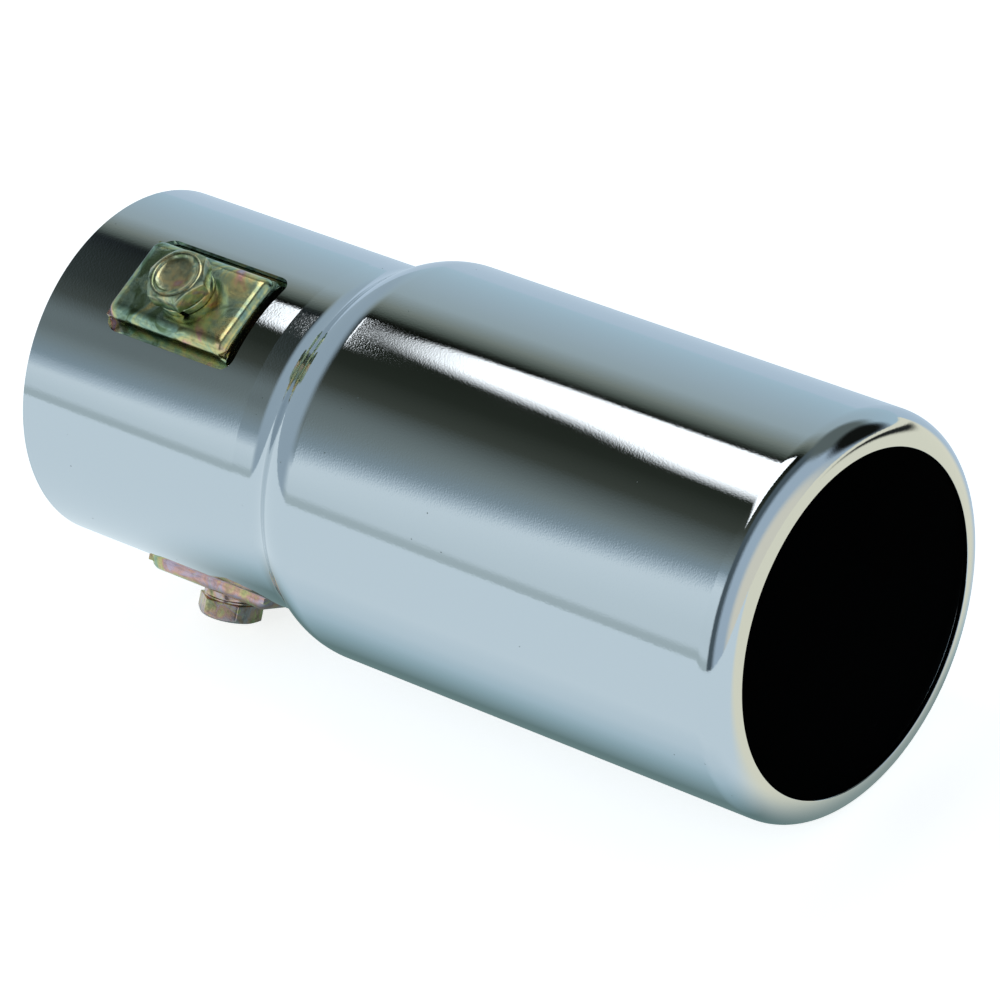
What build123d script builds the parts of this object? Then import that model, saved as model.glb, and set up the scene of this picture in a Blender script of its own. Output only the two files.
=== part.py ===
from build123d import *
import os
from math import acos, cos, degrees, radians, sin, sqrt, tan

# Push-on exhaust tip with a narrow neck, a wide barrel and a turned-in lip.
# The neck slips over the end of a tailpipe. Three clamp brackets sit in windows in the
# neck, and a hex bolt with a spring washer goes through each of them to press on the pipe.
#
# Frame: the origin is the centre of the neck's cut end, +X runs along the axis to the
# outlet, +Z is up. Angles about the axis are measured from +Z towards +Y.
# All sizes are millimetres.

# Shell: one tube of sheet steel, swaged up from the neck to the barrel
sheet = 1.2                  # wall of the tube
barrel_od = 76.0             # outlet size that such tips are sold by
barrel_step = 4.4            # how far the barrel stands out from the neck, all round
overall_length = 169.0
neck_length = 56.6           # straight part of the neck
hollow_radius = 8.9          # outside radius where the neck turns out to the shoulder
shoulder_radius = 13.4       # outside radius where the shoulder turns into the barrel
lip_radius = 5.7             # outside radius of the turned-in lip, a quarter turn
cut_end_break = 0.25         # broken edge on the outside of the neck's cut end

# Windows punched through the neck, one for each bracket
bracket_angles = [-19.0, -148.5, 96.5]
window_start = 14.8          # from the cut end to the window
window_length = 31.0
window_width = 21.6
window_corner = 2.8

# Clamp bracket: a channel bent from strip, with two feet under the neck's wall
bracket_sheet = 1.4
bracket_rise = 1.6           # top of the bracket above the crown of the neck
bracket_length = 29.2
bracket_width = 17.8         # over the two side walls
bracket_bend = 2.4           # outside radius of the bends along both sides
bracket_edge = 1.0           # rolled outer edge along both cut ends
bracket_slides = [-0.8, 0.8, 0.0]   # how far each one has slid along its window
foot_reach = 14.4            # outer edge of a foot, from the bracket's middle
foot_clearance = 0.15        # between a foot and the inside of the neck
collar_od = 9.6              # drawn collar that holds the thread
collar_drop = 2.4            # collar below the underside of the bracket

# Spring washer under each head: a split ring
washer_od = 12.4
washer_bore = 6.9
washer_thickness = 1.6
washer_split = 0.9           # width of the split
washer_split_lean = 25.0     # slope of the split from straight up, in degrees
washer_split_angle = -59.0   # where the split stands, from forward
seat_clearance = 0.05        # bracket to washer, and washer to head

# Clamp bolt: quarter inch hexagon head bolt with an indented head
bolt_d = 6.35
bolt_length = 19.0           # under the head
thread_clearance = 0.05      # between the shank and its collar
head_flats = 11.1            # across flats
head_height = 4.0            # with its bearing face
head_circle = 10.2           # where the top meets the corner chamfer
head_chamfer = 30.0          # slope of that chamfer, in degrees
head_spare = 1.0             # how far the turned profile runs past the corners
bearing_d = 10.4             # round bearing face under the head
bearing_height = 0.4
dent_d = 9.0                 # shallow hollow in the top of the head
dent_depth = 0.6
tip_chamfer = 0.8
bolt_turns = [2.0, -22.0, 31.0]   # how far each hexagon is turned from pointing forward

# Worked out from the sizes above
barrel_r = barrel_od / 2
neck_r = barrel_r - barrel_step
neck_inner_r = neck_r - sheet
shoulder_turn = degrees(acos(1 - barrel_step / (hollow_radius + shoulder_radius)))
window_middle = window_start + window_length / 2
bracket_top = neck_r + bracket_rise
foot_outer_r = neck_inner_r - foot_clearance
foot_inner_r = foot_outer_r - bracket_sheet
wall_inside = bracket_width / 2 - bracket_sheet
wall_bottom = sqrt(foot_inner_r**2 - wall_inside**2)
collar_bottom = bracket_top - bracket_sheet - collar_drop
tapped_hole_r = bolt_d / 2 + thread_clearance
washer_seat = bracket_top + seat_clearance
under_head = washer_seat + washer_thickness + seat_clearance

os.makedirs("parts", exist_ok=True)


def station(angle, x):
    """Plane on the axis at x, its own Z pointing out through the neck at that angle."""
    outward = (0, sin(radians(angle)), cos(radians(angle)))
    return Plane(origin=(x, 0, 0), x_dir=(1, 0, 0), z_dir=outward)


# Shell. The outside line is drawn from the cut end to the mouth, the wall is that line
# made one sheet thick towards the inside, and one turn about the axis gives the tube.
with BuildPart() as tip_body:
    with BuildSketch(Plane.XZ) as wall:
        with BuildLine() as skin:
            neck = Line((0, neck_r), (neck_length, neck_r))
            hollow = JernArc(neck @ 1, neck % 1, hollow_radius, shoulder_turn)
            shoulder = JernArc(hollow @ 1, hollow % 1, shoulder_radius, -shoulder_turn)
            lip_start = (overall_length - lip_radius, barrel_r)
            barrel = Line(shoulder @ 1, lip_start)
            lip = JernArc(barrel @ 1, barrel % 1, lip_radius, -90)
            offset(amount=sheet, side=Side.RIGHT)
        make_face()
    revolve(axis=Axis.X)
    cut_end_rim = (
        tip_body.edges().filter_by(GeomType.CIRCLE).group_by(Axis.X)[0].sort_by(SortBy.RADIUS)[-1]
    )
    chamfer(cut_end_rim, cut_end_break)
    for angle in bracket_angles:
        with BuildSketch(station(angle, window_middle)):
            RectangleRounded(window_length, window_width, window_corner)
        extrude(amount=barrel_r, mode=Mode.SUBTRACT)
tip_body.part.label = "tip_body"
export_step(tip_body.part, "parts/tip_body.step")


def make_bracket(place):
    """Channel open at both ends, with a drawn collar and a curved foot on each side."""
    section = Plane(
        origin=place.origin - place.x_dir * (bracket_length / 2),
        x_dir=place.y_dir,
        z_dir=place.x_dir,
    )
    outer_height = bracket_top - wall_bottom
    inner_height = outer_height - bracket_sheet
    with BuildPart() as bracket:
        # Outside of the channel, bent along both sides and rolled over at both cut ends
        with BuildSketch(section) as outside:
            with Locations((0, wall_bottom + outer_height / 2)):
                Rectangle(bracket_width, outer_height)
            fillet(outside.vertices().group_by(Axis.Y)[-1], bracket_bend)
        extrude(amount=bracket_length)
        underside = bracket.faces().sort_by(Axis(place.origin, place.z_dir))[0]
        cut_ends = bracket.faces().filter_by(Axis(place.origin, place.x_dir))
        fillet(cut_ends.edges() - underside.edges(), bracket_edge)
        # Inside of the channel
        with BuildSketch(section) as inside:
            with Locations((0, wall_bottom + inner_height / 2)):
                Rectangle(2 * wall_inside, inner_height)
            fillet(inside.vertices().group_by(Axis.Y)[-1], bracket_bend - bracket_sheet)
        extrude(amount=bracket_length, mode=Mode.SUBTRACT)
        # Feet, curved to lie under the wall of the neck on both sides of the window
        foot_width = foot_reach - wall_inside
        with BuildSketch(section):
            Circle(foot_outer_r)
            Circle(foot_inner_r, mode=Mode.SUBTRACT)
            foot_middle = wall_inside + foot_width / 2
            with Locations((foot_middle, foot_outer_r / 2), (-foot_middle, foot_outer_r / 2)):
                Rectangle(foot_width, foot_outer_r, mode=Mode.INTERSECT)
        extrude(amount=bracket_length)
        # Collar for the bolt, drawn down from the middle of the channel
        with BuildSketch(place.offset(collar_bottom)):
            Circle(collar_od / 2)
        extrude(amount=collar_drop + bracket_sheet / 2)
        with BuildSketch(place.offset(collar_bottom)):
            Circle(tapped_hole_r)
        extrude(amount=bracket_top - collar_bottom, mode=Mode.SUBTRACT)
    return bracket.part


def make_washer(place):
    """Ring with a leaning split."""
    turned = radians(washer_split_angle)
    split_line = place.x_dir * cos(turned) + place.y_dir * sin(turned)
    split_side = Plane(
        origin=place.offset(washer_seat).origin,
        x_dir=place.z_dir.cross(split_line),
        z_dir=split_line,
    )
    with BuildPart() as washer:
        with BuildSketch(place.offset(washer_seat)):
            Circle(washer_od / 2)
            Circle(washer_bore / 2, mode=Mode.SUBTRACT)
        extrude(amount=washer_thickness)
        with BuildSketch(split_side):
            with Locations((0, washer_thickness / 2)):
                Rectangle(washer_split, 2 * washer_thickness, rotation=washer_split_lean)
        extrude(amount=washer_od, mode=Mode.SUBTRACT)
    return washer.part


def make_bolt(place, turn):
    """Hex bolt, its chamfered and dented head turned as one profile, then cut to six sides."""
    head_top = under_head + head_height
    profile_r = head_flats / sqrt(3) + head_spare
    chamfer_fall = (profile_r - head_circle / 2) * tan(radians(head_chamfer))
    dent_r = (dent_d**2 / 4 + dent_depth**2) / (2 * dent_depth)
    side_plane = Plane(origin=place.origin, x_dir=place.x_dir, z_dir=-place.y_dir)
    with BuildPart() as bolt:
        with BuildSketch(place.offset(under_head + bearing_height)):
            RegularPolygon(head_flats / 2, 6, major_radius=False, rotation=turn)
        extrude(amount=head_height - bearing_height)
        with BuildSketch(side_plane):
            with BuildLine():
                dent = RadiusArc((0, head_top - dent_depth), (dent_d / 2, head_top), -dent_r)
                rim = Line(dent @ 1, (head_circle / 2, head_top))
                slope = Line(rim @ 1, (profile_r, head_top - chamfer_fall))
                side = Line(slope @ 1, (profile_r, under_head))
                under = Line(side @ 1, (0, under_head))
                Line(under @ 1, dent @ 0)
            make_face()
        revolve(axis=Axis(place.origin, place.z_dir), mode=Mode.INTERSECT)
        with BuildSketch(place.offset(under_head)):
            Circle(bearing_d / 2)
        extrude(amount=bearing_height)
        with BuildSketch(place.offset(under_head - bolt_length)):
            Circle(bolt_d / 2)
        extrude(amount=bolt_length)
        tip = bolt.edges().sort_by(Axis(place.origin, place.z_dir))[0]
        chamfer(tip, tip_chamfer)
    return bolt.part


for number, angle in enumerate(bracket_angles, start=1):
    place = station(angle, window_middle + bracket_slides[number - 1])
    bracket = make_bracket(place)
    bracket.label = f"clamp_bracket_{number}"
    export_step(bracket, f"parts/clamp_bracket_{number}.step")
    washer = make_washer(place)
    washer.label = f"spring_washer_{number}"
    export_step(washer, f"parts/spring_washer_{number}.step")
    bolt = make_bolt(place, bolt_turns[number - 1])
    bolt.label = f"clamp_bolt_{number}"
    export_step(bolt, f"parts/clamp_bolt_{number}.step")
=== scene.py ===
import logging
import math
from dataclasses import dataclass
from enum import Enum

import bmesh
import bpy
from bpy.types import ColorRamp, Material, Mesh, Node, NodeSocket, NodeTree, Object
from mathutils import Matrix, Vector
from mathutils.kdtree import KDTree


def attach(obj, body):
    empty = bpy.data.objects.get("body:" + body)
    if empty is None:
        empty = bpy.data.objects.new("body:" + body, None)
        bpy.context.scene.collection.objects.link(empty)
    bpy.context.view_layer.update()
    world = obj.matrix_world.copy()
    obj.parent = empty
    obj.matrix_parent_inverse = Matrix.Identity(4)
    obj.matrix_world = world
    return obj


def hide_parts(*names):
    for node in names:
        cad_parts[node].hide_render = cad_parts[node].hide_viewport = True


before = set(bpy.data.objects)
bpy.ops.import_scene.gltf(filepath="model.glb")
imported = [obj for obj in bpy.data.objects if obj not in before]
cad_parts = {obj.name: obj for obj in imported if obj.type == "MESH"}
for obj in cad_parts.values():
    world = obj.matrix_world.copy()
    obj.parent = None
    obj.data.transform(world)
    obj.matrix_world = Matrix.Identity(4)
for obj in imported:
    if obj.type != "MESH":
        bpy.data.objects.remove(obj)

log = logging.getLogger("exhaust_tip")

MM = 0.001
CRISP = math.radians(22)  # an edge sharper than this is softened

# What can feed a node's input: a socket, or a node by its first output
Source = Node | NodeSocket


class Body(Enum):
    """Bodies of the part that a piece can move with."""

    TIP = "tip"
    BOLT_1 = "bolt_1"
    BOLT_2 = "bolt_2"
    BOLT_3 = "bolt_3"


class Slot(Enum):
    """Material slots of the part's record."""

    SHELL = "polished_shell"
    BRACKET = "plated_bracket"
    WASHER = "plated_washer"
    BOLT = "plated_bolt"


def to_linear(code: str) -> tuple[float, float, float, float]:
    """Turns an sRGB hex colour into a linear one.

    Args:
        code: Colour as #RRGGBB.

    Returns:
        Linear red, green, blue and an alpha of 1.
    """
    parts = [int(code[i : i + 2], 16) / 255 for i in (1, 3, 5)]
    linear = [p / 12.92 if p <= 0.04045 else ((p + 0.055) / 1.055) ** 2.4 for p in parts]
    return (linear[0], linear[1], linear[2], 1.0)


def add_node(tree: NodeTree, kind: str, inputs: dict | None = None, **settings: object) -> Node:
    """Adds a node with its settings, its input values and its incoming links.

    Args:
        tree: Tree that gets the node.
        kind: Blender's name for the kind of node.
        inputs: Value or source of each input, by name or number. A vector may have sources among its parts.
        settings: Properties of the node.

    Returns:
        The new node.
    """
    made = tree.nodes.new(kind)
    for name, value in settings.items():
        setattr(made, name, value)
    for key, value in (inputs or {}).items():
        if isinstance(value, tuple) and any(isinstance(part, NodeSocket) for part in value):
            value = add_node(tree, "ShaderNodeCombineXYZ", dict(enumerate(value)))
        if isinstance(value, Node):
            value = value.outputs[0]
        if isinstance(value, NodeSocket):
            tree.links.new(value, made.inputs[key])
        else:
            made.inputs[key].default_value = value
    return made


def set_stops(ramp: ColorRamp, stops: list[tuple[float, str]]) -> None:
    """Gives a colour ramp its stops.

    Args:
        ramp: Ramp of a Color Ramp node.
        stops: Position from 0 to 1 and sRGB hex colour of each stop, in order.
    """
    while len(ramp.elements) < len(stops):
        ramp.elements.new(1.0)
    for element, (position, code) in zip(ramp.elements, stops):
        element.position = position
        element.color = to_linear(code)


def lay_over(tree: NodeTree, tone: Source | str, covers: list[tuple[Source, str]]) -> NodeSocket:
    """Lays colours over one another.

    Args:
        tree: Tree that gets the nodes.
        tone: Lowest colour, from a source or as an sRGB hex colour.
        covers: Share from 0 to 1 and sRGB hex colour of each next one.

    Returns:
        The colour on top.
    """
    for share, cover in covers:
        below = to_linear(tone) if isinstance(tone, str) else tone
        mixed = add_node(tree, "ShaderNodeMix", {0: share, 6: below, 7: to_linear(cover)}, data_type="RGBA")
        tone = mixed.outputs[2]
    return tone


def scale_of(size_mm: float) -> float:
    """Returns the scale at which a pattern's cell has a size in mm."""
    return 1 / (size_mm * MM)


def start_material(name: str) -> tuple[Material, NodeTree, Node, NodeSocket]:
    """Makes a material with the usual surface shader.

    Args:
        name: Name of the material.

    Returns:
        The material, its tree, its shader, and the place on the piece in metres.
    """
    material = bpy.data.materials.new(name)
    material.use_nodes = True
    tree = material.node_tree
    return material, tree, tree.nodes["Principled BSDF"], add_node(tree, "ShaderNodeTexCoord").outputs["Object"]


def raise_grain(tree: NodeTree, place: NodeSocket, size_mm: float, height_mm: float, strength: float) -> None:
    """Raises a fine grain on a material's surface.

    Args:
        tree: The material's tree.
        place: The place on the piece in metres.
        size_mm: Size of a grain.
        height_mm: Height of a grain.
        strength: How much of that height is felt.
    """
    grain = add_node(tree, "ShaderNodeTexNoise", {"Vector": place, "Scale": scale_of(size_mm), "Detail": 2.0})
    bump = add_node(tree, "ShaderNodeBump", {"Strength": strength, "Distance": height_mm * MM, "Height": grain})
    tree.links.new(bump.outputs[0], tree.nodes["Principled BSDF"].inputs["Normal"])


@dataclass(frozen=True)
class PolishedChrome:
    """Decorative chromium on polished steel: a mirror, duller where it was wiped, with shop dust."""

    name: str = "polished_chrome"
    tone: str = "#CBD2D7"  # cool bright metal, a little blue, as chromium looks in daylight
    roughness: float = 0.035
    smear_roughness: float = 0.075
    smear_mm: float = 34.0  # wiped areas
    smear_range: tuple[float, float] = (0.42, 0.75)  # noise where a smear starts and where it is full
    speck_cell_mm: float = 2.3  # one place for a speck in each cell of this size
    speck_share: float = 0.07  # cells that hold one
    speck_radius: float = 0.06  # in cells
    speck_tone: str = "#7E8684"
    speck_roughness: float = 0.4  # on top of the metal's
    grain_mm: float = 0.36  # grain of the polished steel, which breaks up the edge of a reflected light
    grain_height_mm: float = 0.0048

    def make(self) -> Material:
        """Builds the material."""
        material, tree, shader, place = start_material(self.name)
        shader.inputs["Metallic"].default_value = 1.0
        # Dust: a small dark dot inside some cells
        cells = add_node(tree, "ShaderNodeTexVoronoi", {"Vector": place, "Scale": scale_of(self.speck_cell_mm)})
        chance = add_node(tree, "ShaderNodeSeparateColor", {"Color": cells.outputs["Color"]})
        near, held = (
            add_node(tree, "ShaderNodeMath", {0: value, 1: limit}, operation="LESS_THAN")
            for value, limit in ((cells.outputs["Distance"], self.speck_radius), (chance, self.speck_share))
        )
        speck = add_node(tree, "ShaderNodeMath", {0: near, 1: held}, operation="MULTIPLY")
        tree.links.new(lay_over(tree, self.tone, [(speck, self.speck_tone)]), shader.inputs["Base Color"])
        smear = add_node(tree, "ShaderNodeTexNoise", {"Vector": place, "Scale": scale_of(self.smear_mm), "Detail": 3.0})
        wiped = add_node(
            tree,
            "ShaderNodeMapRange",
            {"Value": smear, "From Min": self.smear_range[0], "From Max": self.smear_range[1],
             "To Min": self.roughness, "To Max": self.smear_roughness},
        )
        rough = add_node(
            tree, "ShaderNodeMath", {0: speck, 1: self.speck_roughness, 2: wiped}, operation="MULTIPLY_ADD"
        )
        tree.links.new(rough.outputs[0], shader.inputs["Roughness"])
        raise_grain(tree, place, self.grain_mm, self.grain_height_mm, strength=1.0)
        return material


@dataclass(frozen=True)
class StovePaint:
    """Black heat-resistant paint, sprayed inside the tube: matt soot black with a fine sprayed grain."""

    name: str = "stove_paint"
    tone: str = "#030303"
    scuff_tone: str = "#2A2E2C"  # rubbed spots that catch a little light
    scuff_mm: float = 14.0
    scuff_range: tuple[float, float] = (0.64, 0.78)  # noise where a rubbed spot starts and where it is full
    roughness: float = 0.62
    specular: float = 0.12
    grain_mm: float = 0.5  # spray grain, drawn coarse enough to show
    grain_height_mm: float = 0.03

    def make(self) -> Material:
        """Builds the material."""
        material, tree, shader, place = start_material(self.name)
        shader.inputs["Roughness"].default_value = self.roughness
        shader.inputs["Specular IOR Level"].default_value = self.specular
        rub = add_node(
            tree,
            "ShaderNodeTexNoise",
            {"Vector": place, "Scale": scale_of(self.scuff_mm), "Detail": 8.0, "Roughness": 0.7},
        )
        rubbed = add_node(
            tree, "ShaderNodeMapRange", {"Value": rub, "From Min": self.scuff_range[0], "From Max": self.scuff_range[1]}
        )
        tree.links.new(lay_over(tree, self.tone, [(rubbed, self.scuff_tone)]), shader.inputs["Base Color"])
        raise_grain(tree, place, self.grain_mm, self.grain_height_mm, strength=0.6)
        return material


@dataclass(frozen=True)
class YellowPassivate:
    """Zinc plate with a yellow chromate film, whose thickness gives the metal rainbow tints, with a painted reflection
    that makes the tints lighter and warmer lower down.
    """

    name: str
    tones: tuple[str, ...]
    blotch_mm: float = 7.0  # size of a patch of one tint
    tint_start: float = 0.30  # film thickness of the first tint
    tint_span: float = 0.42  # from the first tint to the last
    mottle_mm: float = 1.5  # size of a dull spot
    mottle_range: tuple[float, float] = (0.46, 0.68)  # noise where a dull spot starts and where it is full
    shade: str = "#2C3626"  # where the film is thick and dull
    shade_share: float = 0.32
    painted_reflection_drift: float = 2.2  # painted reflection: how far the tint shifts for each metre of height, lighter and warmer lower down
    roughness: float = 0.2
    rough_spread: float = 0.16
    grain_mm: float = 0.35  # crystal grain of the plate, drawn coarse enough to show
    grain_height_mm: float = 0.006

    def make(self) -> Material:
        """Builds the material: tinted metal with cloudy patches and a fine grain."""
        material, tree, shader, place = start_material(self.name)
        shader.inputs["Metallic"].default_value = 1.0
        film = add_node(
            tree,
            "ShaderNodeTexNoise",
            {"Vector": place, "Scale": scale_of(self.blotch_mm), "Detail": 4.0, "Roughness": 0.55, "Distortion": 0.9},
        )
        # Painted reflection: the tint shifts with height, so lower pieces get lighter, warmer tints, as if they showed
        # the pale floor, and upper ones darker green
        height = add_node(tree, "ShaderNodeSeparateXYZ", {0: place}).outputs["Z"]
        film_and_painted_reflection = add_node(tree, "ShaderNodeMath", {0: height, 1: -self.painted_reflection_drift, 2: film}, operation="MULTIPLY_ADD")
        tint = add_node(tree, "ShaderNodeValToRGB", {"Fac": film_and_painted_reflection})
        last = len(self.tones) - 1
        set_stops(
            tint.color_ramp,
            [(self.tint_start + self.tint_span * i / last, tone) for i, tone in enumerate(self.tones)],
        )
        cloud = add_node(
            tree,
            "ShaderNodeTexNoise",
            {"Vector": place, "Scale": scale_of(self.mottle_mm), "Detail": 5.0, "Roughness": 0.68},
        )
        dull = add_node(
            tree,
            "ShaderNodeMapRange",
            {"Value": cloud, "From Min": self.mottle_range[0], "From Max": self.mottle_range[1],
             "To Max": self.shade_share},
        )
        tree.links.new(lay_over(tree, tint, [(dull, self.shade)]), shader.inputs["Base Color"])
        rough = add_node(
            tree,
            "ShaderNodeMath",
            {0: cloud, 1: self.rough_spread, 2: self.roughness - self.rough_spread / 2},
            operation="MULTIPLY_ADD",
        )
        tree.links.new(rough.outputs[0], shader.inputs["Roughness"])
        raise_grain(tree, place, self.grain_mm, self.grain_height_mm, strength=0.5)
        return material


@dataclass(frozen=True)
class Finishes:
    """The four finishes of the tip, made once and shared by its pieces."""

    chrome: Material
    paint: Material
    bracket: Material
    bolt: Material

    @classmethod
    def make(cls) -> "Finishes":
        """Makes the materials."""
        return cls(
            chrome=PolishedChrome().make(),
            paint=StovePaint().make(),
            bracket=YellowPassivate(
                "yellow_passivate_strip",
                ("#6E8462", "#9DB7A2", "#BAC597", "#DACD90", "#E0AC9C", "#CBB6C7", "#E4D392"),
                roughness=0.21,
                rough_spread=0.22,
            ).make(),
            bolt=YellowPassivate(
                "yellow_passivate_bolt",
                ("#87956E", "#ADB89A", "#C8C498", "#D9C993", "#DDB09E", "#CBB9BD", "#E0D09C"),
                blotch_mm=4.0,
                shade_share=0.5,
            ).make(),
        )


class SizedTree:
    """A Geometry Nodes tree with named sizes, run once on a start mesh to give a plain mesh."""

    def __init__(self, name: str, lengths: dict[str, float], others: dict[str, float]) -> None:
        """Makes the tree with a geometry input and one number input for each size.

        Args:
            name: Name of the tree.
            lengths: Value of each length, in mm.
            others: Value of each other input: a place in metres, an angle in radians or a plain number.
        """
        self.name = name
        self.values = {size: value * MM for size, value in lengths.items()} | others
        self.tree = bpy.data.node_groups.new(name, "GeometryNodeTree")
        face = self.tree.interface
        face.new_socket("Geometry", in_out="INPUT", socket_type="NodeSocketGeometry")
        for size in self.values:
            face.new_socket(size, in_out="INPUT", socket_type="NodeSocketFloat")
        face.new_socket("Geometry", in_out="OUTPUT", socket_type="NodeSocketGeometry")
        given = add_node(self.tree, "NodeGroupInput")
        self.size = {socket.name: socket for socket in given.outputs if socket.name}

    def work_out(self, sums: dict[str, tuple[str, str | float, str | float]]) -> None:
        """Adds sizes that are worked out from others.

        Args:
            sums: For each new size, the operation and its two terms, each a size's name or a number.
        """
        for name, (operation, first, second) in sums.items():
            terms = [self.size[t] if isinstance(t, str) else t for t in (first, second)]
            made = add_node(self.tree, "ShaderNodeMath", dict(enumerate(terms)), operation=operation)
            self.size[name] = made.outputs[0]

    def finish(self, geometry: Node, lift: NodeSocket | float, material: Material) -> None:
        """Puts a clamp's piece in its place on the neck and ends the tree.

        Args:
            geometry: Node that gives the piece, standing on the tube's axis with up as outward.
            lift: How far the piece is lifted first.
            material: Finish of the whole piece.
        """
        size = self.size
        spun = add_node(
            self.tree,
            "GeometryNodeTransform",
            {0: geometry, "Translation": (size["Along"], 0.0, lift), "Rotation": (0.0, 0.0, size["Turn"])},
        )
        swung = add_node(self.tree, "GeometryNodeTransform", {0: spun, "Rotation": (size["Angle"], 0.0, 0.0)})
        self.end(swung, material)

    def end(self, geometry: Node, material: Material) -> None:
        """Ends the tree in Realize Instances and Set Material.

        Args:
            geometry: Node that gives what the tree has made.
            material: Finish of the whole piece.
        """
        real = add_node(self.tree, "GeometryNodeRealizeInstances", {"Geometry": geometry})
        dressed = add_node(self.tree, "GeometryNodeSetMaterial", {"Geometry": real, "Material": material})
        add_node(self.tree, "NodeGroupOutput", {0: dressed})

    def run(self, start: Mesh) -> Mesh:
        """Evaluates the tree.

        Args:
            start: Mesh that goes in.

        Returns:
            The result as a plain mesh.
        """
        carrier = bpy.data.objects.new(self.name, start)
        bpy.context.scene.collection.objects.link(carrier)
        modifier = carrier.modifiers.new(self.name, "NODES")
        modifier.node_group = self.tree
        for item in self.tree.interface.items_tree:
            if item.in_out == "INPUT" and item.name in self.values:
                modifier[item.identifier] = self.values[item.name]
        shown = carrier.evaluated_get(bpy.context.evaluated_depsgraph_get())
        made = bpy.data.meshes.new_from_object(shown)
        carrier.modifiers.clear()
        bpy.data.objects.remove(carrier)
        return made


def hand_over(name: str, mesh: Mesh, body: Body, slot: Slot, node: str) -> Object:
    """Puts a finished mesh in the scene in place of its CAD node.

    Args:
        name: Name of the piece.
        mesh: Its mesh, already in place.
        body: Body that it moves with.
        slot: Material slot of the piece; not used.
        node: CAD node that it replaces.

    Returns:
        The piece's object.
    """
    piece = bpy.data.objects.new(name, mesh)
    bpy.context.scene.collection.objects.link(piece)
    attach(piece, body.value)
    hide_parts(node)
    log.info("%s: %d faces, moves with %s", name, len(mesh.polygons), body.value)
    return piece


def smooth(mesh: Mesh, angle: float) -> None:
    """Shades a mesh smooth, with a crisp edge where two faces meet at more than an angle in degrees."""
    for face in mesh.polygons:
        face.use_smooth = True
    mesh.set_sharp_from_angle(angle=math.radians(angle))


def solid_mesh(
    name: str, spots: list[tuple[float, float, float]], faces: list[tuple[int, ...]], edge_mm: float = 0.0
) -> Mesh:
    """Makes a closed mesh whose faces point outwards.

    Args:
        name: Name of the mesh.
        spots: Its corners in mm.
        faces: The numbers of each face's corners.
        edge_mm: How far its crisp edges are softened.

    Returns:
        The mesh.
    """
    mesh = bpy.data.meshes.new(name)
    mesh.from_pydata([tuple(c * MM for c in spot) for spot in spots], [], faces)
    bm = bmesh.new()
    bm.from_mesh(mesh)
    bmesh.ops.recalc_face_normals(bm, faces=bm.faces)
    if edge_mm:
        crisp = [e for e in bm.edges if e.is_manifold and e.calc_face_angle() > CRISP]
        bmesh.ops.bevel(
            bm, geom=crisp, offset=edge_mm * MM, segments=3, profile=0.5, affect="EDGES", clamp_overlap=True
        )
    bm.to_mesh(mesh)
    bm.free()
    return mesh


@dataclass(frozen=True)
class Station:
    """Where one clamp sits on the neck. Lengths in mm, angles in degrees."""

    number: int
    body: Body
    angle: float  # round the axis, from up towards +Y
    along: float  # from the cut end
    turn: float  # of the bolt's hexagon

    def sizes(self, turned: bool) -> dict[str, float]:
        """Returns the tree inputs that put a piece here, turned with the bolt or not."""
        return {
            "Angle": -math.radians(self.angle),
            "Along": self.along * MM,
            "Turn": math.radians(self.turn) if turned else 0.0,
        }


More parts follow.
